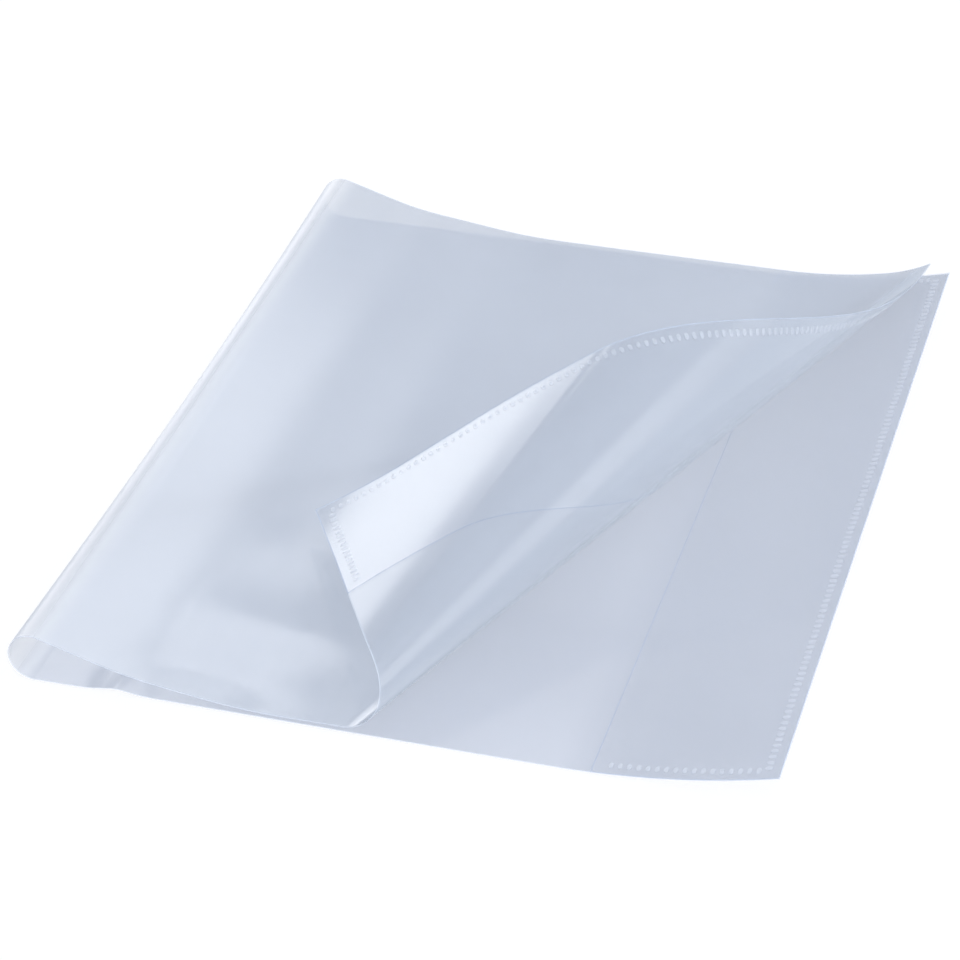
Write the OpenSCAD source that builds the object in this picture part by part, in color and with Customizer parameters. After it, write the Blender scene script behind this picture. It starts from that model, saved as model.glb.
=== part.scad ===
// Clear film cover for an exercise book, lying closed with one corner turned back.
// The cover is one sheet of film, folded round a soft spine loop. A pocket strip is
// welded inside each outer edge. The sheet is drawn as flat strips between fold lines,
// so each strip is cut from the flat pattern and folded up with all the strips before it.

/* [Cover sheet] */
// Height of the cover, along the spine
cover_h = 223; // [190:1:300]
// Width of the back panel, from the spine loop to its outer edge, measured on the film
back_w = 170; // [162:1:220]
// How much narrower the front panel is, measured on the film in the same way
front_short = 5.5; // [4:0.5:8]
// Thickness of the film
film_t = 0.12; // [0.08:0.01:0.15]

/* [Spine loop] */
// Radius of the loop of film at the spine
loop_r = 6; // [5:0.25:7]
// How far the film turns round the loop, in degrees
loop_turn = 197; // [192:1:204]

/* [Front panel] */
// Length of the steep slope down from the loop
upper_slope_len = 20; // [14:0.5:24]
// Angle of the gentle slope that follows, in degrees
lower_slope = 7.5; // [6:0.25:10]
// Height of the front panel's underside over the table
panel_z = 1.3; // [1.3:0.05:1.8]

/* [Turned corner] */
// Angle by which the outer part of the front panel is lifted, in degrees
lift_angle = 13.3; // [13:0.1:18]
// Distance from the start of the back panel's curl to the start of the lift, at the far edge
lift_lag = 4; // [2:0.5:6]
// Length of film in the lift, at the near edge
lift_len = 1.6; // [1.4:0.1:3]
// Distance from the outer edge to the start of the roll, at the far edge
roll_far = 13; // [8:0.5:18]
// Length of film in the roll, at the near edge
roll_len = 24.5; // [22:0.5:28]
// Length of film in the flap past the roll, at the near edge
flap_len = 67; // [60:0.5:70]
// Distance from the near edge to the end of the roll, at the outer edge
roll_edge = 75.5; // [66:0.5:90]
// How far the film turns round the roll, in degrees
roll_turn = 187; // [160:1:190]

/* [Back panel curl] */
// Width of the back panel's outer part that curls up off the table
curl_w = 50; // [46:1:56]
// Radius of the curl that lifts the back panel's outer edge
curl_r = 178; // [176:2:300]

/* [Pockets] */
// Width of each pocket strip
pocket_w = 42; // [38:0.5:46]
// Thickness of the pocket film
pocket_t = 0.12; // [0.08:0.01:0.15]
// Gap between the pocket strip and the cover sheet
pocket_gap = 0.1; // [0.06:0.01:0.12]

/* [Weld seams] */
// Distance from the film's edge to the middle of a weld seam
weld_inset = 3.2; // [2.5:0.1:5]
// Distance from one weld mark to the next
weld_pitch = 2.05; // [1.8:0.05:3]
// Length of a weld mark along the seam
mark_l = 1; // [0.6:0.05:1.2]
// Length of a weld mark across the seam
mark_w = 1.8; // [1:0.1:2.4]
// Height of a weld mark over the pocket film
mark_proud = 0.03; // [0.01:0.01:0.05]

/* [Folds] */
// Slit left between two strips at a fold line
fold_gap = 0.16; // [0.1:0.02:0.24]

/* [Hidden] */
film_colour = [0.79, 0.84, 0.90, 0.5];
pocket_colour = [0.74, 0.80, 0.88, 0.5];

// Flat facets along the back panel's curl
curl_steps = 24;

// Folds are numbered along the film, from the back panel to the turned corner
loop_folds = 6;
lift_folds = 2;
roll_folds = 8;
upper_fold = loop_folds + 1;
lower_fold = loop_folds + 2;
lift_end_fold = lower_fold + lift_folds;
last_fold = lift_end_fold + roll_folds;

// Spine loop: equal strips, with half a strip before the first fold and after the last
loop_bend = loop_turn / loop_folds;
loop_step = loop_r * loop_bend * PI / 180;
loop_len = loop_step * loop_folds;
loop_rises = [for (i = [1 : loop_folds - 1]) loop_step * sin(i * loop_bend)];
loop_end_z = sum(loop_rises) + loop_step / 2 * sin(loop_turn);
loop_runs = [for (i = [1 : loop_folds - 1]) -loop_step * cos(i * loop_bend)];
loop_end_x = sum(loop_runs) - loop_step / 2 * (1 + cos(loop_turn));

// Slopes: the gentle one runs on until the panel is down at its own height
upper_slope = loop_turn - 180;
upper_drop = upper_slope_len * sin(upper_slope);
lower_slope_len = (loop_end_z - upper_drop - panel_z) / sin(lower_slope);
slopes_run = upper_slope_len * cos(upper_slope) + lower_slope_len * cos(lower_slope);
level_x = loop_end_x + slopes_run;

// Places along the near edge of the film, counted from the start of the loop
outer_edge = loop_len + back_w - front_short;
upper_end = loop_len + upper_slope_len;
lower_end = upper_end + lower_slope_len;
roll_end = outer_edge - flap_len;
roll_at = roll_end - roll_len;
lift_at = roll_at - lift_len;

// Places along the far edge: the lift starts over the back panel's curl
flat_w = back_w - curl_w;
lift_far_at = lower_end + flat_w + lift_lag - level_x;
roll_far_at = outer_edge - roll_far;

// Lean of the slanting folds from the spine's direction
lift_lean = atan((lift_far_at - lift_at) / cover_h);
roll_lean = atan((roll_far_at - roll_at) / cover_h);
roll_lean_end = atan((outer_edge - roll_end) / roll_edge);

// Layers over the cover sheet
pocket_z = film_t + pocket_gap;
mark_top = pocket_z + pocket_t + mark_proud;

// A weld mark keeps this far from a fold line
mark_clear = fold_gap / 2 + norm([mark_l, mark_w]) / 2;

function sum(v) = v * [for (x = v) 1];

// Share of the lift, and of the roll, that lies before fold i
function lift_share(i) = (i - lower_fold - 0.5) / lift_folds;
function roll_share(i) = (i - lift_end_fold - 0.5) / roll_folds;

// Where fold i crosses the near edge, along the film
function fold_at(i) =
    i <= loop_folds ? (i - 0.5) * loop_step
    : i == upper_fold ? upper_end
    : i == lower_fold ? lower_end
    : i <= lift_end_fold ? lift_at + lift_len * lift_share(i)
    : roll_at + roll_len * roll_share(i);

// Lean of fold i towards the outer edge, in degrees
function fold_lean(i) =
    i <= lower_fold ? 0
    : i <= lift_end_fold ? lift_lean + (roll_lean - lift_lean) * lift_share(i)
    : roll_lean + (roll_lean_end - roll_lean) * roll_share(i);

// Bend at fold i in degrees: the loop turns one way, the slopes and the roll the other
function fold_bend(i) =
    i <= loop_folds ? loop_bend
    : i == upper_fold ? lower_slope - upper_slope
    : i == lower_fold ? -lower_slope
    : i <= lift_end_fold ? -lift_angle / lift_folds
    : -roll_turn / roll_folds;

// Where fold i lies at height v over the near edge, with a slit of half a gap on one side
function fold_line(i, v, side = 0) =
    fold_at(i) + v * tan(fold_lean(i)) + side * fold_gap / 2 / cos(fold_lean(i));

// Distance of a point of the film past fold i
function past_fold(i, p) = (p.x - fold_line(i, p.y)) * cos(fold_lean(i));

// Whether a weld mark at point p lies wholly on strip k
function on_strip(k, p) =
    past_fold(k, p) > mark_clear && (k == last_fold || past_fold(k + 1, p) < -mark_clear);

// Middles of the weld marks of one pocket: along its near, outer and far edges.
// The third value is the turn of the mark.
function weld_marks(inner, outer) =
    let (
        across = floor((outer - inner - 2 * weld_inset) / weld_pitch),
        along = floor((cover_h - 2 * weld_inset) / weld_pitch),
        start = (cover_h - along * weld_pitch) / 2
    )
    [
        for (v = [weld_inset, cover_h - weld_inset], i = [1 : across])
            [outer - weld_inset - i * weld_pitch, v, 0],
        for (i = [0 : along])
            [outer - weld_inset, start + i * weld_pitch, 90]
    ];

// Point of the back panel's section at width w and height z over its underside
function back_point(w, z) =
    let (turn = (w - flat_w) / curl_r * 180 / PI)
    w <= flat_w ? [w, z] : [flat_w, curl_r] + (curl_r - z) * [sin(turn), -cos(turn)];

// Points along the back panel's section from width w0 to w1, close together on the curl
function back_section(w0, w1, z) =
    let (bend = max(w0, flat_w))
    [
        if (w0 < flat_w) back_point(w0, z),
        for (i = [0 : curl_steps]) back_point(bend + (w1 - bend) * i / curl_steps, z)
    ];

// Puts the middle of the flat underside at the origin
module placed() {
    translate([-flat_w / 2, -cover_h / 2, 0])
        children();
}

// Turns what lies past fold i about its line, in the middle of the film's thickness
module fold(i) {
    hinge = [-fold_at(i), 0, film_t / 2];
    translate(hinge)
        rotate([0, 0, fold_lean(i)])
            rotate([0, fold_bend(i), 0])
                rotate([0, 0, -fold_lean(i)])
                    translate(-hinge)
                        children();
}

// Folds up a piece of the flat pattern that lies past fold k
module folded(k) {
    if (k == 0)
        children();
    else
        folded(k - 1)
            fold(k)
                children();
}

// Outline of strip k in the flat pattern, from one film width to another.
// The pattern runs to the left of the spine.
module strip_outline(k, inner, outer) {
    top = cover_h + 1;
    far_side = k == last_fold ? [outer + top, outer + top]
        : [fold_line(k + 1, -1, -1), fold_line(k + 1, top, -1)];
    intersection() {
        translate([-outer, 0])
            square([outer - inner, cover_h]);
        polygon([
            [-fold_line(k, -1, 1), -1],
            [-fold_line(k, top, 1), top],
            [-far_side[1], top],
            [-far_side[0], -1]
        ]);
    }
}

// One strip of the cover sheet, folded into place
module sheet_strip(k) {
    placed()
        folded(k)
            linear_extrude(film_t)
                strip_outline(k, 0, outer_edge);
}

// One weld mark, standing on the cover sheet
module weld_mark(turn) {
    rotate([0, 0, turn])
        translate([-mark_l / 2, -mark_w / 2, film_t])
            cube([mark_l, mark_w, mark_top - film_t]);
}

// The part of the front pocket that lies on strip k, with its weld marks
module pocket_piece(k) {
    inner = outer_edge - pocket_w;
    placed()
        folded(k) {
            translate([0, 0, pocket_z])
                linear_extrude(pocket_t)
                    strip_outline(k, inner, outer_edge);
            for (m = weld_marks(inner, outer_edge))
                if (on_strip(k, m))
                    translate([-m.x, m.y, 0])
                        weld_mark(m.z);
        }
}

// Carries a piece to width w of the back panel, up the curl where it has one
module on_back(w) {
    if (w <= flat_w)
        translate([w, 0, 0])
            children();
    else
        translate([flat_w, 0, curl_r])
            rotate([0, -(w - flat_w) / curl_r * 180 / PI, 0])
                translate([0, 0, -curl_r])
                    children();
}

// Film on the back panel from width w0 to w1: level up to the curl, then round it
module back_film(w0, w1, z, t) {
    under = back_section(w0, w1, z);
    over = back_section(w0, w1, z + t);
    translate([0, cover_h, 0])
        rotate([90, 0, 0])
            linear_extrude(cover_h)
                polygon([each under, for (i = [len(over) - 1 : -1 : 0]) over[i]]);
}

module back_panel() {
    color(film_colour)
        placed()
            back_film(fold_gap / 2 - fold_at(1), back_w, 0, film_t);
}

module back_pocket() {
    color(pocket_colour)
        placed() {
            back_film(back_w - pocket_w, back_w, pocket_z, pocket_t);
            for (m = weld_marks(back_w - pocket_w, back_w))
                translate([0, m.y, 0])
                    on_back(m.x)
                        weld_mark(m.z);
        }
}

module spine_strip_1() { color(film_colour) sheet_strip(1); }
module spine_strip_2() { color(film_colour) sheet_strip(2); }
module spine_strip_3() { color(film_colour) sheet_strip(3); }
module spine_strip_4() { color(film_colour) sheet_strip(4); }
module spine_strip_5() { color(film_colour) sheet_strip(5); }
module upper_slope_strip() { color(film_colour) sheet_strip(loop_folds); }
module lower_slope_strip() { color(film_colour) sheet_strip(upper_fold); }
module front_panel() { color(film_colour) sheet_strip(lower_fold); }
module lift_strip_1() { color(film_colour) sheet_strip(lower_fold + 1); }
module lift_strip_2() { color(film_colour) sheet_strip(lift_end_fold); }
module roll_strip_1() { color(film_colour) sheet_strip(lift_end_fold + 1); }
module roll_strip_2() { color(film_colour) sheet_strip(lift_end_fold + 2); }
module roll_strip_3() { color(film_colour) sheet_strip(lift_end_fold + 3); }
module roll_strip_4() { color(film_colour) sheet_strip(lift_end_fold + 4); }
module roll_strip_5() { color(film_colour) sheet_strip(lift_end_fold + 5); }
module roll_strip_6() { color(film_colour) sheet_strip(lift_end_fold + 6); }
module roll_strip_7() { color(film_colour) sheet_strip(lift_end_fold + 7); }
module corner_flap() { color(film_colour) sheet_strip(last_fold); }
module pocket_far_end() { color(pocket_colour) pocket_piece(lower_fold); }
module pocket_lift_1() { color(pocket_colour) pocket_piece(lower_fold + 1); }
module pocket_lift_2() { color(pocket_colour) pocket_piece(lift_end_fold); }
module pocket_strip_1() { color(pocket_colour) pocket_piece(lift_end_fold + 1); }
module pocket_strip_2() { color(pocket_colour) pocket_piece(lift_end_fold + 2); }
module pocket_strip_3() { color(pocket_colour) pocket_piece(lift_end_fold + 3); }
module pocket_strip_4() { color(pocket_colour) pocket_piece(lift_end_fold + 4); }
module pocket_strip_5() { color(pocket_colour) pocket_piece(lift_end_fold + 5); }
module pocket_strip_6() { color(pocket_colour) pocket_piece(lift_end_fold + 6); }
module pocket_strip_7() { color(pocket_colour) pocket_piece(lift_end_fold + 7); }
module pocket_corner() { color(pocket_colour) pocket_piece(last_fold); }

back_panel();
back_pocket();
spine_strip_1();
spine_strip_2();
spine_strip_3();
spine_strip_4();
spine_strip_5();
upper_slope_strip();
lower_slope_strip();
front_panel();
lift_strip_1();
lift_strip_2();
roll_strip_1();
roll_strip_2();
roll_strip_3();
roll_strip_4();
roll_strip_5();
roll_strip_6();
roll_strip_7();
corner_flap();
pocket_far_end();
pocket_lift_1();
pocket_lift_2();
pocket_strip_1();
pocket_strip_2();
pocket_strip_3();
pocket_strip_4();
pocket_strip_5();
pocket_strip_6();
pocket_strip_7();
pocket_corner();
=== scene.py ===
import math

import bpy
import numpy as np
from mathutils import Matrix


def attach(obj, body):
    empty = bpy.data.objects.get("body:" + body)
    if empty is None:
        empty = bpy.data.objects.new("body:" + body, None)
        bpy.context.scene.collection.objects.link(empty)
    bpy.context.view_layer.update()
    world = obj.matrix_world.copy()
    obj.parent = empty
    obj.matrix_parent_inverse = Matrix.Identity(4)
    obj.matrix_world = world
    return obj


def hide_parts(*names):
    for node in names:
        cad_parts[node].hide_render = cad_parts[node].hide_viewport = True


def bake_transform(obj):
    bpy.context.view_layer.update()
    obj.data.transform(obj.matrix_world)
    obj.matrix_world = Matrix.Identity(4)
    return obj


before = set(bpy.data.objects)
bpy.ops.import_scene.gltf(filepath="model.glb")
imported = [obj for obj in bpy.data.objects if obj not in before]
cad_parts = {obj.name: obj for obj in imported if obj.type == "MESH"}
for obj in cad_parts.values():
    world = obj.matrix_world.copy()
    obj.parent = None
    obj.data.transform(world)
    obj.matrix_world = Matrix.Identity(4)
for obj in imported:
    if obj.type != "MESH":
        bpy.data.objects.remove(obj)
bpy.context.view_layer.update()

# The back panel: the half of the cover sheet that lies on the table. It is smooth cast polypropylene film,
# cut square, and its outer part has kept a curl from the reel that lifts the edge a few millimetres.
# All lengths are in millimetres on the film; the mesh is written in metres.
MM = 0.001
cover_h = 223.0
back_w = 170.0
film_t = 0.12
curl_w = 50.0
curl_r = 178.0
flat_w = back_w - curl_w
cut_band = 0.3


def linear(hex_colour):
    """sRGB hex value to linear red, green, blue, alpha."""
    srgb = np.array([int(hex_colour[i : i + 2], 16) for i in (1, 3, 5)]) / 255
    low = srgb / 12.92
    high = ((srgb + 0.055) / 1.055) ** 2.4
    return (*np.where(srgb <= 0.04045, low, high).tolist(), 1.0)


def add(tree, kind, links=(), **settings):
    """Adds a node. settings are its properties or, by name, its inputs, and links are pairs of an input and
    the output socket that feeds it."""
    node = tree.nodes.new("ShaderNode" + kind)
    for name, value in settings.items():
        if hasattr(node, name):
            setattr(node, name, value)
        else:
            node.inputs[name.replace("_", " ")].default_value = value
    for socket, source in links:
        tree.links.new(node.inputs[socket], source)
    return node


def new_material(name):
    """An empty node material and its output node."""
    material = bpy.data.materials.new(name)
    material.use_nodes = True
    material.node_tree.nodes.clear()
    return material, material.node_tree, add(material.node_tree, "OutputMaterial")


def film_gloss(tree, body, roughness, strength=1.0):
    """Clear gloss on the face of a film that is met first, the same from both sides: its share rises from a
    tenth face on to all at a grazing view, as a power of one minus the cosine, times strength. It throws no
    shadow. Film that is seen in a mirror image has no gloss, so no light is caught between two films."""
    face_on_share = 0.1
    grazing_power = 3.3
    facing = add(tree, "LayerWeight", Blend=0.5).outputs["Facing"]
    steep = add(tree, "Math", [(0, facing)], operation="POWER")
    steep.inputs[1].default_value = grazing_power
    share = add(tree, "MapRange", [("Value", steep.outputs[0])])
    share.inputs["To Min"].default_value = face_on_share * strength
    share.inputs["To Max"].default_value = strength
    leaving = add(tree, "NewGeometry").outputs["Backfacing"]
    path = add(tree, "LightPath")
    not_seen = add(tree, "Math", [(0, path.outputs["Is Glossy Ray"]), (1, path.outputs["Is Shadow Ray"])])
    dull = add(tree, "Math", [(0, leaving), (1, not_seen.outputs[0])], operation="MAXIMUM")
    met = add(tree, "MapRange", [("Value", dull.outputs[0]), ("To Min", share.outputs[0])])
    met.inputs["To Max"].default_value = 0.0
    gloss = add(tree, "BsdfGlossy", [("Roughness", roughness)])
    return add(tree, "MixShader", [(0, met.outputs[0]), (1, body), (2, gloss.outputs[0])])


def clear_film(name, shaded_tint, lit_tint, opacity, rough, gloss=1.0):
    """Cast film: clear, with a blue-grey haze. Its thickness wanders over 30 to 60 mm, which shows as soft
    clouds, the casting roll leaves fine lines along the film that only the gloss shows, and round the bend of
    the spine a painted highlight mixes the colour towards white, and the gloss there is duller. The haze
    throws light on forwards, so it holds back light on its way to other film, and a mirror image, far less
    than it hides what lies behind it. The tint goes from shaded_tint, a painted shade a little darker where
    the film lies on the table, to lit_tint, the lighter lit tone round the spine and over the front panel."""
    cloud_mm = 45
    line_mm = (1.5, 60)
    spine_mm = 22.0
    crest_mm = 12.0
    highlight_share = 0.6
    crest_rough = 0.4
    mirrored_share = 0.25
    lighting_share = 0.12
    material, tree, out = new_material(name)
    place = add(tree, "Attribute", attribute_name="film_mm").outputs["Vector"]
    along = add(tree, "SeparateXYZ", [(0, place)]).outputs["X"]
    round_spine = add(tree, "MapRange", [("Value", along)], interpolation_type="SMOOTHSTEP")
    round_spine.inputs["From Max"].default_value = spine_mm
    # Painted shade: the back panel, where the film lies on the table, takes the darker colour, and from the
    # spine on the film takes the lighter, lit one.
    tint = add(tree, "Mix", [(0, round_spine.outputs[0])], data_type="RGBA")
    tint.inputs["A"].default_value = linear(shaded_tint)
    tint.inputs["B"].default_value = linear(lit_tint)
    clouds = add(tree, "TexNoise", [("Vector", place)], Scale=1 / cloud_mm, Detail=2.0)
    shade = add(tree, "MapRange", [("Value", clouds.outputs[0])])
    shade.inputs["To Min"].default_value = 0.95
    shade.inputs["To Max"].default_value = 1.04
    clouded = add(tree, "Mix", [("A", tint.outputs["Result"]), ("B", shade.outputs[0])], data_type="RGBA")
    clouded.blend_type = "MULTIPLY"
    clouded.inputs[0].default_value = 1.0
    # Painted highlight: round the crest of the spine's bend the colour is mixed towards white, for the light
    # that the bend and the mouth of the loop catch, and the gloss there is made duller.
    crest = add(tree, "Math", [(0, along)], operation="SUBTRACT")
    crest.inputs[1].default_value = crest_mm
    from_crest = add(tree, "Math", [(0, crest.outputs[0])], operation="ABSOLUTE")
    painted_highlight = add(tree, "MapRange", [("Value", from_crest.outputs[0])], interpolation_type="SMOOTHSTEP")
    painted_highlight.inputs["From Min"].default_value = crest_mm
    painted_highlight.inputs["From Max"].default_value = crest_mm / 3
    painted_highlight.inputs["To Max"].default_value = highlight_share
    highlit_colour = add(tree, "Mix", [(0, painted_highlight.outputs[0]), ("A", clouded.outputs["Result"])], data_type="RGBA")
    highlit_colour.inputs["B"].default_value = (1.0, 1.0, 1.0, 1.0)
    stretched = add(tree, "Mapping", [("Vector", place)], Scale=(1 / line_mm[0], 1 / line_mm[1], 1.0))
    lines = add(tree, "TexNoise", [("Vector", stretched.outputs[0])], Scale=1.0, Detail=1.0)
    smooth = add(tree, "MapRange", [("Value", lines.outputs[0])])
    smooth.inputs["To Min"].default_value = rough * 0.7
    smooth.inputs["To Max"].default_value = rough * 1.5
    roughness = add(tree, "Math", [(0, painted_highlight.outputs[0]), (2, smooth.outputs[0])], operation="MULTIPLY_ADD")
    roughness.inputs[1].default_value = crest_rough
    haze = add(tree, "BsdfDiffuse", [("Color", highlit_colour.outputs["Result"])])
    glow = add(tree, "BsdfTranslucent", [("Color", highlit_colour.outputs["Result"])])
    milk = add(tree, "MixShader", [(1, haze.outputs[0]), (2, glow.outputs[0])])
    milk.inputs[0].default_value = 0.5
    clear = add(tree, "BsdfTransparent")
    path = add(tree, "LightPath")
    mirrored = add(tree, "MapRange", [("Value", path.outputs["Is Glossy Ray"])])
    mirrored.inputs["To Min"].default_value = opacity
    mirrored.inputs["To Max"].default_value = opacity * mirrored_share
    lighting = add(tree, "Math", [(0, path.outputs["Is Shadow Ray"]), (1, path.outputs["Is Diffuse Ray"])])
    lighting.operation = "MAXIMUM"
    hidden = add(tree, "MapRange", [("Value", lighting.outputs[0]), ("To Min", mirrored.outputs[0])])
    hidden.inputs["To Max"].default_value = opacity * lighting_share
    body = add(tree, "MixShader", [(0, hidden.outputs[0]), (1, clear.outputs[0]), (2, milk.outputs[0])])
    shiny = film_gloss(tree, body.outputs[0], roughness.outputs[0], gloss)
    tree.links.new(out.inputs["Surface"], shiny.outputs[0])
    return material


def cut_film(name, hex_colour, opacity):
    """The cut edge of the film: light that runs inside the film comes out there, so it is a pale line."""
    nick_mm = 4
    material, tree, out = new_material(name)
    place = add(tree, "Attribute", attribute_name="film_mm").outputs["Vector"]
    nicks = add(tree, "TexNoise", [("Vector", place)], Scale=1 / nick_mm, Detail=2.0)
    light = add(tree, "MapRange", [("Value", nicks.outputs[0])])
    light.inputs["To Min"].default_value = 0.88
    light.inputs["To Max"].default_value = 1.1
    colour = add(tree, "Mix", data_type="RGBA", blend_type="MULTIPLY")
    colour.inputs[0].default_value = 1.0
    colour.inputs["A"].default_value = linear(hex_colour)
    tree.links.new(colour.inputs["B"], light.outputs[0])
    pale = add(tree, "BsdfDiffuse", [("Color", colour.outputs["Result"])])
    clear = add(tree, "BsdfTransparent")
    body = add(tree, "MixShader", [(1, clear.outputs[0]), (2, pale.outputs[0])])
    body.inputs[0].default_value = opacity
    tree.links.new(out.inputs["Surface"], body.outputs[0])
    return material


def unseen_joint(name):
    """Inside the film, where one stretch of it runs on into the next, there is nothing to see."""
    material, tree, out = new_material(name)
    clear = add(tree, "BsdfTransparent")
    tree.links.new(out.inputs["Surface"], clear.outputs[0])
    return material


def film_shell(name, middle, normal, thick, film_mm, cut, materials):
    """A closed thin shell on a grid of points: the grid moved half the thickness to each side along its
    normals, with a rim on its four sides. cut says which sides (first row, last row, first column, last
    column) are cut edges; the others run on into the next piece. A cut side's outermost cells are the
    edge's pale band. The material slots are the film, the joint inside it and the cut edge."""
    film_slot = 0
    joint_slot = 1
    edge_slot = 2
    rows, columns = middle.shape[:2]
    count = rows * columns
    sides = [middle + normal * thick / 2, middle - normal * thick / 2]
    points = np.concatenate([side.reshape(-1, 3) for side in sides])
    index = np.arange(count).reshape(rows, columns)
    a, b, c, d = index[:-1, :-1], index[1:, :-1], index[1:, 1:], index[:-1, 1:]
    across = np.cross(middle[1:, :-1] - middle[:-1, :-1], middle[:-1, 1:] - middle[:-1, :-1])
    turned = np.sum(across * normal[:-1, :-1]) > 0
    upper = np.stack([a, d, c, b], -1).reshape(-1, 4)
    lower = np.stack([a, b, c, d], -1).reshape(-1, 4) + count
    rims = []
    for first, second in (
        (index[0, 1:], index[0, :-1]),
        (index[-1, :-1], index[-1, 1:]),
        (index[:-1, 0], index[1:, 0]),
        (index[1:, -1], index[:-1, -1]),
    ):
        rims.append(np.stack([first, second, second + count, first + count], -1))
    band = np.full((rows - 1, columns - 1), film_slot)
    for is_cut, cells in zip(cut, (np.s_[0, :], np.s_[-1, :], np.s_[:, 0], np.s_[:, -1])):
        if is_cut:
            band[cells] = edge_slot
    slots = [band.reshape(-1), band.reshape(-1)]
    for is_cut, rim in zip(cut, rims):
        slots.append(np.full(len(rim), edge_slot if is_cut else joint_slot))
    faces = np.concatenate([upper, lower, *rims])
    if turned:
        faces = faces[:, ::-1]
    corner = np.concatenate([normal.reshape(-1, 3), -normal.reshape(-1, 3)])[faces]
    flat_from = len(upper) + len(lower)
    edges = points[faces[flat_from:]]
    rim_normal = np.cross(edges[:, 1] - edges[:, 0], edges[:, 2] - edges[:, 0])
    rim_normal /= np.maximum(np.linalg.norm(rim_normal, axis=1, keepdims=True), 1e-12)
    corner[flat_from:] = rim_normal[:, None, :]
    film_mm = np.tile(film_mm.reshape(-1, 3), (2, 1))
    return film_object(name, points, faces, corner, np.concatenate(slots), film_mm, materials)


def film_object(name, points, faces, corner, slots, film_mm, materials):
    """A mesh object from whole arrays: points in mm, four-cornered faces, a normal for each corner (or
    None), a material slot for each face, and each point's place on the flat film in mm."""
    mesh = bpy.data.meshes.new(name)
    mesh.vertices.add(len(points))
    mesh.vertices.foreach_set("co", (points * MM).astype(np.float32).ravel())
    mesh.loops.add(faces.size)
    mesh.loops.foreach_set("vertex_index", faces.astype(np.int32).ravel())
    mesh.polygons.add(len(faces))
    mesh.polygons.foreach_set("loop_start", np.arange(0, faces.size, 4, dtype=np.int32))
    mesh.polygons.foreach_set("use_smooth", np.ones(len(faces), bool))
    for material in materials:
        mesh.materials.append(material)
    mesh.polygons.foreach_set("material_index", slots.astype(np.int32))
    place = mesh.attributes.new("film_mm", "FLOAT_VECTOR", "POINT")
    place.data.foreach_set("vector", film_mm.astype(np.float32).ravel())
    mesh.update(calc_edges=True)
    mesh.validate()
    if corner is not None:
        mesh.normals_split_custom_set(corner.reshape(-1, 3).tolist())
    piece = bpy.data.objects.new(name, mesh)
    bpy.context.scene.collection.objects.link(piece)
    return piece


def steps(low, high, spacing, cut_low=False, cut_high=False):
    """Even steps from low to high, about spacing apart, with one narrow step at an end that is a cut edge."""
    inner_low = low + cut_band * cut_low
    inner_high = high - cut_band * cut_high
    even = np.linspace(inner_low, inner_high, max(2, round((inner_high - inner_low) / spacing) + 1))
    return np.concatenate([[low] * cut_low, even, [high] * cut_high])


def laid_ripple(width, v):
    """Height in mm by which the film stands off the table: three slow waves that die out at the spine, and
    one small fold at the near edge beside the loop."""
    wave = np.sin(width / 17 + v / 46) + np.sin(width / 29 - v / 33 + 1.1) + np.sin(v / 21 + width / 60 + 2.0)
    fold = 0.9 * np.exp(-(((width - 19) / 4.5) ** 2) - (v / 14) ** 2)
    return np.clip(width / 20, 0, 1) ** 2 * 0.03 * (wave + 3) + fold


def slopes(ripple, s, v):
    """How steeply a ripple rises along s and along v: the difference over half a millimetre to each side."""
    return ripple(s + 0.5, v) - ripple(s - 0.5, v), ripple(s, v + 0.5) - ripple(s, v - 0.5)


def back_film(width, v, height):
    """Points and upward normals of the back panel, at a height over its underside: level up to the curl, then
    round a circle about the Y axis."""
    turn = np.maximum(width - flat_w, 0) / curl_r
    level = np.minimum(width, flat_w) - flat_w / 2
    rise = height + laid_ripple(width, v)
    x = level + (curl_r - rise) * np.sin(turn)
    z = curl_r - (curl_r - rise) * np.cos(turn)
    along, across = slopes(laid_ripple, width, v)
    normal_x = -np.sin(turn) - along * np.cos(turn)
    normal_z = np.cos(turn) - along * np.sin(turn)
    normal = np.stack([normal_x, -across, normal_z], -1)
    normal /= np.linalg.norm(normal, axis=-1, keepdims=True)
    return np.stack([x, v - cover_h / 2, z], -1), normal


# The first colour is a painted shade for the back panel on the table, and the second is the lighter lit tone
# of the spine and front panel.
film = clear_film("clear polypropylene film", "#bfc8d9", "#cbd3df", opacity=0.55, rough=0.11)
edge = cut_film("cut polypropylene edge", "#e6eef8", opacity=0.3)
joint = unseen_joint("inside the film")
film_slots = [film, joint, edge]

grid_w = 2.0
grid_h = 3.0
width, v = np.meshgrid(
    steps(0, back_w, grid_w, cut_high=True),
    steps(0, cover_h, grid_h, cut_low=True, cut_high=True),
    indexing="ij",
)
middle, normal = back_film(width, v, film_t / 2)
back = film_shell(
    "back_panel_film",
    middle,
    normal,
    film_t,
    np.stack([-width, v, 0 * v], -1),
    (False, True, True, True),
    film_slots,
)
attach(back, "back_panel")
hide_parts("back_panel")

# The spine: the same film runs on from the back panel round a soft loop, with nothing inside to hold it. The
# film keeps this bend by itself. The loop is drawn in six pieces, one for each sixth of it.
loop_r = 6.0
loop_turn = 197.0
loop_folds = 6
loop_waist = 0.3
fold_rulings = 24
loop_len = loop_r * math.radians(loop_turn)
loop_step = loop_len / loop_folds
upper_slope_len = 20.0
upper_slope = loop_turn - 180.0
lower_slope = 7.5
panel_z = 1.3
front_short = 5.5
outer_edge = loop_len + back_w - front_short

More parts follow.
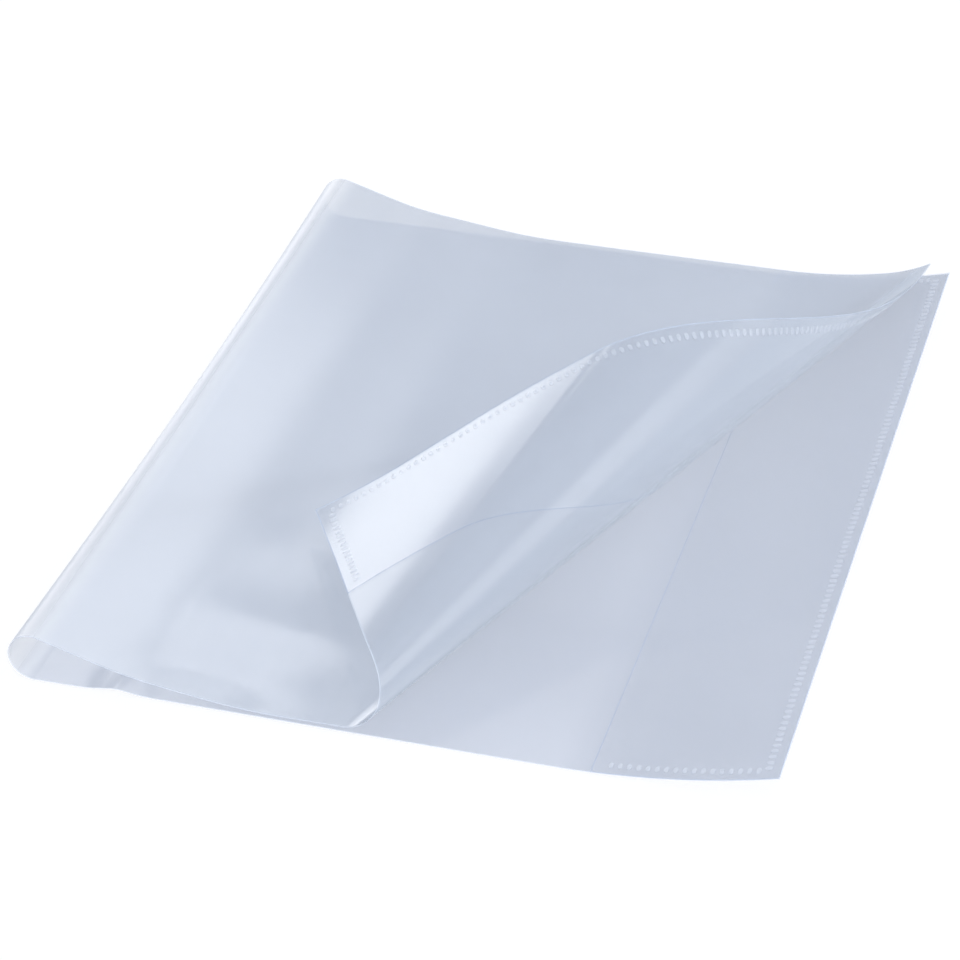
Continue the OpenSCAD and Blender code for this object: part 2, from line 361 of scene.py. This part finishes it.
# Rulings are the straight lines that lie in the bent film. A zone gives the place where they start on the
# near edge, their lean from the spine's direction, the turn of the film over the zone, and how many rulings
# it has.
loop_end = loop_step * sum(math.sin(math.radians(i * loop_turn / loop_folds)) for i in range(1, loop_folds))
loop_end += loop_step / 2 * math.sin(math.radians(loop_turn))
upper_end = loop_len + upper_slope_len
slope_drop = upper_slope_len * math.sin(math.radians(upper_slope))
lower_end = upper_end + (loop_end - slope_drop - panel_z) / math.sin(math.radians(lower_slope))
level_x = -loop_step * sum(math.cos(math.radians(i * loop_turn / loop_folds)) for i in range(1, loop_folds))
level_x -= loop_step / 2 * (1 + math.cos(math.radians(loop_turn)))
level_x += upper_slope_len * math.cos(math.radians(upper_slope))
level_x += (lower_end - upper_end) * math.cos(math.radians(lower_slope))
flap_len = 67.0
flap_v = 75.5
roll_len = 24.5
lift_len = 1.6
lift_past_curl = 4.0
roll_short = 13.0
roll_end = outer_edge - flap_len
roll_at = roll_end - roll_len
lift_at = roll_at - lift_len
lift_far = lower_end + flat_w + lift_past_curl - level_x
roll_far = outer_edge - roll_short
lift_lean = math.atan((lift_far - lift_at) / cover_h)
roll_lean = math.atan((roll_far - roll_at) / cover_h)
flap_lean = math.atan(flap_len / flap_v)
tip_lean = 0.85
lift_turn = 13.3
roll_turn = 187.0
roll_folds = 8
pocket_w = 42.0
upper_bend = 9.0
lower_bend = 12.0
flap_bend = 3.2
flap_bend_end = roll_end + 20.0
tip_at = roll_end + 34.0
tip_end = outer_edge - 0.2
tip_turn = 10.0
zones = [
    # start, end, lean at start and at end in radians, turn in degrees, rulings, eased share at each end
    (0.0, loop_len, 0.0, 0.0, loop_turn, fold_rulings * loop_folds, 0.021),
    (loop_len, upper_end - upper_bend, 0.0, 0.0, 0.0, 6, 0.1),
    (upper_end - upper_bend, upper_end + upper_bend, 0.0, 0.0, lower_slope - upper_slope, 20, 0.3),
    (upper_end + upper_bend, lower_end - lower_bend, 0.0, 0.0, 0.0, 6, 0.1),
    (lower_end - lower_bend, lower_end + lower_bend, 0.0, 0.0, -lower_slope, 20, 0.3),
    (lower_end + lower_bend, lift_at, 0.0, lift_lean, 0.0, 24, 0.1),
    (lift_at, roll_at, lift_lean, roll_lean, -lift_turn, 24, 0.01),
    (roll_at, roll_end, roll_lean, flap_lean, flap_bend - roll_turn, fold_rulings * roll_folds, 0.01),
    (roll_end, flap_bend_end, flap_lean, tip_lean, -2 * flap_bend, 24, 0.3),
    (flap_bend_end, tip_at, tip_lean, tip_lean, 0.0, 6, 0.1),
    (tip_at, tip_end, tip_lean, tip_lean, tip_turn, 36, 0.3),
]


def ruling_table(zones, also):
    """Starts, leans and turns of all rulings. Within a zone start and lean go evenly from one end to the
    other; the turn of each step is even too, eased over a share of the zone at each end. also holds film
    places (s, v) that a ruling has to pass through. zone_rows holds the row at which each zone starts, and
    the last row."""
    starts, leans, turns, zone_rows = [0.0], [0.0], [], [0]
    for start, end, lean0, lean1, turn, count, ease in zones:
        share = np.linspace(0, 1, count + 1)
        fine = np.linspace(0, 1, 4001)
        for s, v in also:
            meets = start + (end - start) * fine + v * np.tan(lean0 + (lean1 - lean0) * fine) - s
            if meets[0] < -1e-3 and meets[-1] > 1e-3:
                share = np.sort(np.append(share, np.interp(0, meets, fine)))
        starts.extend(start + (end - start) * share[1:])
        leans.extend(lean0 + (lean1 - lean0) * share[1:])
        eased = np.clip(np.minimum(fine, 1 - fine) / ease, 0, 1)
        built_up = np.concatenate([[0], np.cumsum((eased[1:] + eased[:-1]) / 2)])
        turns.extend(turn * np.diff(np.interp(share, fine, built_up / built_up[-1])))
        zone_rows.append(len(starts) - 1)
    return np.array(starts), np.array(leans), np.radians(turns), zone_rows


def bent_frames(starts, leans, turns):
    """The place and directions of the flat film at each ruling: each step turns the film that is still flat
    about the ruling half-way along the step."""
    bent = np.eye(4)
    bent[:3, 3] = (-flat_w / 2, -cover_h / 2, film_t / 2)
    frames = [bent]
    for start, lean, turn in zip((starts[1:] + starts[:-1]) / 2, (leans[1:] + leans[:-1]) / 2, turns):
        axis = np.array([-math.sin(lean), math.cos(lean), 0.0])
        skew = np.array([[0, -axis[2], axis[1]], [axis[2], 0, -axis[0]], [-axis[1], axis[0], 0]])
        spin = np.eye(3) + math.sin(turn) * skew + (1 - math.cos(turn)) * skew @ skew
        step = np.eye(4)
        step[:3, :3] = spin
        pivot = np.array([-start, 0.0, 0.0])
        step[:3, 3] = pivot - spin @ pivot
        bent = bent @ step
        frames.append(bent)
    return np.array(frames)


pocket_inner = outer_edge - pocket_w
film_corners = [(outer_edge, cover_h), (pocket_inner, cover_h), (pocket_inner, 0.0)]
starts, leans, turns, zone_rows = ruling_table(zones, film_corners)
frames = bent_frames(starts, leans, turns)


def front_ripple(s, v):
    """Height in mm of the front panel's slow waves, of the shallow bulges in its slope near the near edge,
    and of the droop of that edge. The film's inside counts as up, so a bulge that stands up is negative."""
    free = np.clip((s - loop_len) / 25, 0, 1) * np.clip((roll_at + v * np.tan(roll_lean) - s) / 30, 0, 1)
    wave = np.sin(s / 13 + v / 40) + np.sin(s / 23 - v / 27 + 0.7) + np.sin(v / 17 - s / 45 + 1.9)
    bulges = 0
    for at_s, at_v, wide, long, high in (
        # middle along the film, middle from the near edge, half width, half length, height
        (72, 30, 22, 10, -0.5),
        (60, 62, 8, 12, -0.25),
        (36, 108, 12, 60, -0.2),
        (62, -3, 22, 7, 0.8),
    ):
        bulges = bulges + high * np.exp(-(((s - at_s) / wide) ** 2) - ((v - at_v) / long) ** 2)
    return free * (0.05 * wave + bulges)


def front_film(s, v, height):
    """Points and inward normals of the bent film at place s along it and v from the near edge: each point
    lies between two rulings, and is the even mix of where the frames of the two put it. The loop's overhang
    past the back panel is drawn in half-way along the spine, as a sine of v."""
    reach = starts + v.reshape(-1, 1) * np.tan(leans)
    flat = s.reshape(-1)
    row = np.clip((reach <= flat[:, None] + 1e-9).sum(1) - 1, 0, len(starts) - 2)
    pick = np.arange(len(flat))
    gap = np.maximum(reach[pick, row + 1] - reach[pick, row], 1e-9)
    share = np.clip((flat - reach[pick, row]) / gap, 0, 1)[:, None]
    rise = (height + front_ripple(s, v)).reshape(-1)
    local = np.stack([-flat, v.reshape(-1), rise, np.ones_like(flat)], -1)
    placed = [np.einsum("nij,nj->ni", frames[r], local)[:, :3] for r in (row, row + 1)]
    mix = share[..., None]
    turned = frames[row][:, :3, :3] * (1 - mix) + frames[row + 1][:, :3, :3] * mix
    along, across = (slope.reshape(-1, 1) for slope in slopes(front_ripple, s, v))
    normal = turned[:, :, 2] + along * turned[:, :, 0] - across * turned[:, :, 1]
    normal /= np.linalg.norm(normal, axis=1, keepdims=True)
    points = placed[0] * (1 - share) + placed[1] * share
    overhang = np.minimum(points[:, 0] + flat_w / 2, 0)
    points[:, 0] -= loop_waist * overhang * np.sin(math.pi * v.reshape(-1) / cover_h)
    return points.reshape(*s.shape, 3), normal.reshape(*s.shape, 3)


def ruled_grid(first, last, spacing, inner_edge=0.0):
    """Film places on the rulings from row first to row last: each ruling runs from the near edge, or from the
    inner edge of a pocket, to the far edge or the outer edge, whichever it meets first."""
    start = starts[first : last + 1, None]
    tangent = np.tan(leans[first : last + 1, None])
    slope = np.maximum(tangent, 1e-9)
    low = np.clip((inner_edge - start) / slope, 0, cover_h)
    high = np.clip((outer_edge - start) / slope, 0, cover_h)
    length = np.maximum(high - low, 1e-6)
    ends = np.minimum(cut_band, length / 4) / length
    inside = ends + (1 - 2 * ends) * steps(0, 1, spacing / cover_h)
    share = np.concatenate([0 * ends, inside, 0 * ends + 1], axis=1)
    v = low + length * share
    return start + v * tangent, v


def ruled_film(name, first, last, cut_rows=(False, False)):
    """A stretch of the cover sheet between two rulings."""
    s, v = ruled_grid(first, last, grid_h)
    middle, normal = front_film(s, v, 0.0)
    film_mm = np.stack([s, v, 0 * v], -1)
    piece = film_shell(name, middle, normal, film_t, film_mm, (*cut_rows, True, True), film_slots)
    return piece


def bend_across(piece, first, last, before, after):
    """Bakes the piece's place into its mesh; the piece is not turned across the fold, and the near ends of
    its first and last ruling are found but not used. before and after, the bodies on each side of the fold,
    are not used."""
    s = starts[[first, last]]
    ends, _ = front_film(s, np.zeros(2), 0.0)
    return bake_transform(piece)


spine_bodies = ["back_panel", *[f"spine_strip_{i}" for i in range(1, loop_folds)], "front_panel"]
spine = []
for i in range(loop_folds):
    first, last = fold_rulings * i, fold_rulings * (i + 1)
    piece = ruled_film(f"spine_film_{i + 1}", first, last)
    bend_across(piece, first, last, spine_bodies[i], spine_bodies[i + 1])
    spine.append(piece)
for i, piece in enumerate(spine[:-1]):
    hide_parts(f"spine_strip_{i + 1}")

# The front panel: past the loop the film slopes down in two easy bends, lies level over the back panel, and
# lifts again where the corner starts to roll. It is the same unbroken sheet.
front = ruled_film("front_panel_film", zone_rows[1], zone_rows[7])
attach(front, "front_panel")
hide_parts("upper_slope_strip", "lower_slope_strip", "front_panel", "lift_strip_1", "lift_strip_2")

# The rolled corner: the near corner of the front panel is rolled back over itself in a cone, tight at the
# near edge and wide towards the far one, and ends in a flap that is nearly flat.
roll_bodies = ["front_panel", *[f"roll_strip_{i}" for i in range(1, roll_folds)], "corner_flap"]
fold_starts = np.linspace(roll_at, roll_end, roll_folds + 1)
fold_rows = [int(np.argmin(abs(starts - at))) for at in fold_starts]
roll = []
for i in range(roll_folds):
    first, last = fold_rows[i], fold_rows[i + 1]
    piece = ruled_film(f"roll_film_{i + 1}", first, last)
    bend_across(piece, first, last, roll_bodies[i], roll_bodies[i + 1])
    roll.append(piece)
for i, piece in enumerate(roll[:-1]):
    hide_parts(f"roll_strip_{i + 1}")
flap = ruled_film("corner_flap_film", fold_rows[-1], len(starts) - 1, (False, True))
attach(flap, "corner_flap")
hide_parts("corner_flap")

# The back pocket: a strip of the same film inside the back panel's outer edge, open towards the spine. A hot
# bar has welded it to the panel along its other three edges, in rows of short pressed marks.
pocket_gap = 0.1
pocket_t = 0.12
pocket_mid = film_t / 2 + pocket_gap + pocket_t / 2
weld_inset = 3.2
weld_pitch = 2.05
mark_l = 1.0
mark_w = 1.8
mark_proud = 0.04
pocket_film = clear_film("clear pocket film", "#dce5f2", "#dce5f2", opacity=0.06, rough=0.11, gloss=0.4)
# Painted shade: the pocket's cut edge is a darker blue line than the film, for how that edge shows dark
# against it.
pocket_edge = cut_film("cut pocket edge", "#b4c3dc", opacity=0.15)
pocket_slots = [pocket_film, joint, pocket_edge]


def weld_material(name, hex_colour, opacity):
    """Welded film: pressed and melted, so it is a little frosted and paler than the film round it."""
    grain_mm = 0.6
    material, tree, out = new_material(name)
    place = add(tree, "Attribute", attribute_name="film_mm").outputs["Vector"]
    grain = add(tree, "TexNoise", [("Vector", place)], Scale=1 / grain_mm, Detail=2.0)
    light = add(tree, "MapRange", [("Value", grain.outputs[0])])
    light.inputs["To Min"].default_value = 0.9
    light.inputs["To Max"].default_value = 1.08
    colour = add(tree, "Mix", data_type="RGBA", blend_type="MULTIPLY")
    colour.inputs[0].default_value = 1.0
    colour.inputs["A"].default_value = linear(hex_colour)
    tree.links.new(colour.inputs["B"], light.outputs[0])
    frost = add(tree, "BsdfDiffuse", [("Color", colour.outputs["Result"])])
    clear = add(tree, "BsdfTransparent")
    body = add(tree, "MixShader", [(1, clear.outputs[0]), (2, frost.outputs[0])])
    body.inputs[0].default_value = opacity
    rough = add(tree, "MapRange", [("Value", grain.outputs[0])])
    rough.inputs["To Min"].default_value = 0.25
    rough.inputs["To Max"].default_value = 0.4
    shiny = film_gloss(tree, body.outputs[0], rough.outputs[0], strength=0.4)
    tree.links.new(out.inputs["Surface"], shiny.outputs[0])
    return material


weld = weld_material("welded polypropylene", "#eef3fa", opacity=0.2)


def weld_places(inner, outer):
    """Middles of one pocket's weld marks on the flat film, in rows along the near, far and outer edges, and
    which of the marks belong to the outer edge."""
    across = np.arange(1, int((outer - inner - 2 * weld_inset) / weld_pitch) + 1)
    row = outer - weld_inset - across * weld_pitch
    count = int((cover_h - 2 * weld_inset) / weld_pitch)
    column = (cover_h - count * weld_pitch) / 2 + np.arange(count + 1) * weld_pitch
    places = [np.stack([row, 0 * row + edge_v], -1) for edge_v in (weld_inset, cover_h - weld_inset)]
    places.append(np.stack([0 * column + outer - weld_inset, column], -1))
    along = [np.zeros(len(row), bool)] * 2 + [np.ones(len(column), bool)]
    return np.concatenate(places), np.concatenate(along)


def weld_marks(name, surface, places, along, direction):
    """Pressed marks: each is a pillow with an eight-cornered outline in five rings, from the cover sheet up
    through the pocket film to a rounded top. The lowest and the highest ring are drawn in and capped."""
    corner_count = 8
    squareness = 1.35
    ring = np.arange(corner_count)
    corners = np.radians((ring + 0.5) * 360 / corner_count)
    squared = np.stack([np.cos(corners), np.sin(corners)], -1)
    squared = np.sign(squared) * np.minimum(abs(squared) * squareness, 1.0)
    rings = np.array([0.05, 1.0, 1.0, 0.8, 0.05])
    top = pocket_mid + pocket_t / 2
    levels = np.array([film_t / 2, film_t / 2, top, top + mark_proud, top + mark_proud * 1.2])
    half = np.where(along[:, None], [[mark_w / 2, mark_l / 2]], [[mark_l / 2, mark_w / 2]])
    offset = rings[None, :, None, None] * squared[None, None] * half[:, None, None, :]
    flat = places[:, None, None, :] + offset
    height = levels[None, :, None] + 0 * flat[..., 0]
    points, _ = surface(flat[..., 0], flat[..., 1], height)
    after = np.roll(ring, -1)
    wall = np.stack([ring, after, after + corner_count, ring + corner_count], -1)
    walls = [wall + corner_count * i for i in range(len(rings) - 1)]
    bottom = np.array([[3, 2, 1, 0], [7, 4, 3, 0], [7, 6, 5, 4]])
    lid = bottom[:, ::-1] + corner_count * (len(rings) - 1)
    faces = np.concatenate([*walls, bottom, lid])
    if direction < 0:
        faces = faces[:, ::-1]
    mark_points = corner_count * len(rings)
    faces = (faces[None] + mark_points * np.arange(len(places))[:, None, None]).reshape(-1, 4)
    film_mm = np.stack([direction * flat[..., 0], flat[..., 1], 0 * flat[..., 0]], -1).reshape(-1, 3)
    piece = film_object(name, points.reshape(-1, 3), faces, None, np.zeros(len(faces), int), film_mm, [weld])
    return piece


def back_inside(width, v, height):
    """The back panel's inside, at a height over the middle of its film."""
    return back_film(width, v, height + film_t / 2)


width, v = np.meshgrid(
    steps(back_w - pocket_w, back_w, grid_w, cut_low=True, cut_high=True),
    steps(0, cover_h, grid_h, cut_low=True, cut_high=True),
    indexing="ij",
)
middle, normal = back_inside(width, v, pocket_mid)
back_pocket = film_shell(
    "back_pocket_film",
    middle,
    normal,
    pocket_t,
    np.stack([-width, v, 0 * v], -1),
    (True, True, True, True),
    pocket_slots,
)
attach(back_pocket, "back_panel")
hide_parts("back_pocket")
places, along = weld_places(back_w - pocket_w, back_w)
back_welds = weld_marks("back_pocket_welds", back_inside, places, along, 1)
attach(back_welds, "back_panel")

# The front pocket: the same strip inside the front panel's outer edge, welded in the same way. It goes
# round the roll with the panel, so it shows on top of the flap, and its free edge shows through the roll.
first_row = int(np.argmin(abs(starts + cover_h * np.tan(leans) - pocket_inner)))


def pocket_stretch(name, first, last, cut_rows):
    """A stretch of the front pocket strip between two rulings."""
    s, v = ruled_grid(first, last, grid_h, pocket_inner)
    middle, normal = front_film(s, v, pocket_mid)
    film_mm = np.stack([s, v, 0 * v], -1)
    piece = film_shell(name, middle, normal, pocket_t, film_mm, (*cut_rows, True, True), pocket_slots)
    return piece


places, along = weld_places(pocket_inner, outer_edge)
mark_row = ((starts + places[:, 1:] * np.tan(leans)) <= places[:, :1]).sum(1) - 1


def stretch_welds(name, first, last):
    """The weld marks whose middles lie between two rulings, or None."""
    here = (mark_row >= first) & (mark_row < last)
    return weld_marks(name, front_film, places[here], along[here], -1) if here.any() else None


pocket_pieces = [pocket_stretch("front_pocket_film_far", first_row + 1, fold_rows[0], (True, False))]
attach(pocket_pieces[0], "front_panel")
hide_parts("pocket_far_end", "pocket_lift_1", "pocket_lift_2")
far_welds = stretch_welds("front_pocket_welds_far", first_row, fold_rows[0])
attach(far_welds, "front_panel")
pocket_pieces.append(far_welds)
for i in range(roll_folds):
    rows = fold_rows[i], fold_rows[i + 1]
    stretch = pocket_stretch(f"front_pocket_film_{i + 1}", *rows, (False, False))
    bend_across(stretch, *rows, roll_bodies[i], roll_bodies[i + 1])
    if i < roll_folds - 1:
        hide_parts(f"pocket_strip_{i + 1}")
    pocket_pieces.append(stretch)
    marks = stretch_welds(f"front_pocket_welds_{i + 1}", *rows)
    if marks:
        bend_across(marks, *rows, roll_bodies[i], roll_bodies[i + 1])
        pocket_pieces.append(marks)
flap_pocket = pocket_stretch("flap_pocket_film", fold_rows[-1], len(starts) - 1, (False, True))
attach(flap_pocket, "corner_flap")
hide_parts("pocket_corner")
flap_welds = stretch_welds("flap_pocket_welds", fold_rows[-1], len(starts))
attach(flap_welds, "corner_flap")
pocket_pieces.append(flap_welds)

# The table: a wide white top that lies a hair below the film. It is almost white to look at, keeps the
# cover's faint shadow, and takes a slight blue cast where the film mirrors it.
table_half = 4.0
table_z = -0.0002
table_white = 0.75
table_mesh = bpy.data.meshes.new("table")
table_corners = [(x * table_half, y * table_half, table_z) for x, y in ((-1, -1), (1, -1), (1, 1), (-1, 1))]
table_mesh.from_pydata(table_corners, [], [(0, 1, 2, 3)])
table = bpy.data.objects.new("table", table_mesh)
bpy.context.scene.collection.objects.link(table)
material, tree, out = new_material("white table top")
path = add(tree, "LightPath")
seen = add(tree, "Math", [(0, path.outputs["Is Camera Ray"]), (1, path.outputs["Is Glossy Ray"])])
seen.operation = "MAXIMUM"
seen = add(tree, "Math", [(0, seen.outputs[0]), (1, path.outputs["Is Transmission Ray"])])
seen.operation = "MAXIMUM"
bright = add(tree, "Math", [(0, seen.outputs[0])], operation="MULTIPLY")
bright.inputs[1].default_value = table_white
paper = add(tree, "BsdfDiffuse", Color=linear("#fafafa"))
cast = add(tree, "Mix", [(0, path.outputs["Is Glossy Ray"])], data_type="RGBA")
cast.inputs["A"].default_value = (1.0, 1.0, 1.0, 1.0)
cast.inputs["B"].default_value = linear("#d8e3f4")
white = add(tree, "Emission", [("Color", cast.outputs["Result"])], Strength=1.0)
mixed = add(tree, "MixShader", [(0, bright.outputs[0]), (1, paper.outputs[0]), (2, white.outputs[0])])
tree.links.new(out.inputs["Surface"], mixed.outputs[0])
table_mesh.materials.append(material)


# The lamps: soft panels, each fading out towards its edges. A wide one high at the near right lights the
# film, and the others stand where the film mirrors them.
def panel_lamp(name, azimuth, elevation, distance, wide, high, radiance, soft, aim=(0.02, 0.0, 0.01)):
    """A rectangular lamp that faces the point aim. azimuth is from +Y towards +X, in degrees; radiance is
    what a mirror shows of its middle, where 1 is white, and it fades to nothing over the share soft of its
    width and height at each edge."""
    az = math.radians(azimuth)
    el = math.radians(elevation)
    away = np.array([math.sin(az) * math.cos(el), math.cos(az) * math.cos(el), math.sin(el)])
    lamp = bpy.data.lights.new(name, "AREA")
    lamp.shape = "RECTANGLE"
    lamp.size = wide
    lamp.size_y = high
    lamp.energy = radiance * math.pi * wide * high
    lamp.use_nodes = True
    tree = lamp.node_tree
    tree.nodes.clear()
    place = add(tree, "SeparateXYZ", [(0, add(tree, "NewGeometry").outputs["Parametric"])])
    fades = []
    for axis in ("X", "Y"):
        centred = add(tree, "Math", [(0, place.outputs[axis])], operation="SUBTRACT")
        centred.inputs[1].default_value = 0.5
        far = add(tree, "Math", [(0, centred.outputs[0])], operation="ABSOLUTE")
        fade = add(tree, "MapRange", [("Value", far.outputs[0])], interpolation_type="SMOOTHSTEP")
        fade.inputs["From Min"].default_value = 0.5
        fade.inputs["From Max"].default_value = 0.5 - soft
        fades.append(fade.outputs[0])
    strength = add(tree, "Math", [(0, fades[0]), (1, fades[1])], operation="MULTIPLY")
    glow = add(tree, "Emission", [("Strength", strength.outputs[0])])
    add(tree, "OutputLight", [("Surface", glow.outputs[0])])
    holder = bpy.data.objects.new(name, lamp)
    side = np.cross([0, 0, 1], away)
    side /= np.linalg.norm(side)
    stand = np.eye(4)
    stand[:3, 0] = side
    stand[:3, 1] = np.cross(away, side)
    stand[:3, 2] = away
    stand[:3, 3] = np.array(aim) + distance * away
    holder.matrix_world = Matrix(stand.tolist())
    bpy.context.scene.collection.objects.link(holder)


# The flap mirrors the left white panel, the slopes beside the spine the side panel, the bulges at the near
# edge the small high panel, the roll the right panel, the level far half the far panel, and the inside of
# the loop's mouth the mouth panel. After the name come azimuth, elevation, distance, width, height, radiance,
# soft share and, where it isn't the middle of the cover, the point that the lamp faces.
panel_lamp("overhead lamp", 140, 52, 1.3, 1.4, 1.2, 1.85, 0.3)
panel_lamp("left white panel", 0, 0, 0.37, 0.48, 0.292, 1.6, 0.22, (-0.41, 0.0, 0.156))
panel_lamp("side panel", 21, 49, 1.5, 1.7, 0.9, 1.7, 0.235)
panel_lamp("small high panel", -19.6, 43.1, 1.707, 0.38, 0.25, 1.25, 0.25)
panel_lamp("right panel", 103, 18, 1.0, 1.2, 0.8, 0.8, 0.3)
panel_lamp("far panel", -13, 29.5, 1.5, 0.7, 0.16, 0.18, 0.35)
panel_lamp("mouth panel", -27, 36.5, 1.6, 0.34, 0.22, 1.9, 0.3, (-0.055, -0.104, 0.0))

# The room: plain white to look at, and a pale blue-grey light on the film and in its mirror images.
world = bpy.data.worlds.new("studio")
bpy.context.scene.world = world
world.use_nodes = True
tree = world.node_tree
tree.nodes.clear()
path = add(tree, "LightPath")
seen = add(tree, "Math", [(0, path.outputs["Is Camera Ray"]), (1, path.outputs["Is Transmission Ray"])])
seen.operation = "MAXIMUM"
room = add(tree, "Background", Color=linear("#dce1ec"), Strength=1.0)
white = add(tree, "Background", Color=(1, 1, 1, 1), Strength=1.0)
mixed = add(tree, "MixShader", [(0, seen.outputs[0]), (1, room.outputs[0]), (2, white.outputs[0])])
add(tree, "OutputWorld", [("Surface", mixed.outputs[0])])

# The camera stands where the photograph was taken from, with its long lens.
azimuth = math.radians(15.2)
elevation = math.radians(32.88)
camera_away = 0.80757
target = np.array([0.025, 0.0071, 0.0])
level = math.cos(elevation)
toward = np.array([math.sin(azimuth) * level, -math.cos(azimuth) * level, math.sin(elevation)])
right = np.array([math.cos(azimuth), math.sin(azimuth), 0.0])
stand = np.eye(4)
stand[:3, 0] = right
stand[:3, 1] = np.cross(toward, right)
stand[:3, 2] = toward
stand[:3, 3] = target + camera_away * toward
lens = bpy.data.cameras.new("camera")
lens.lens = 122.48
lens.sensor_width = 36.0
lens.shift_x = -0.0641
lens.shift_y = -0.0249
camera = bpy.data.objects.new("camera", lens)
camera.matrix_world = Matrix(stand.tolist())
bpy.context.scene.collection.objects.link(camera)
bpy.context.scene.camera = camera

scene = bpy.context.scene
scene.view_settings.view_transform = "Standard"
scene.cycles.transparent_max_bounces = 48
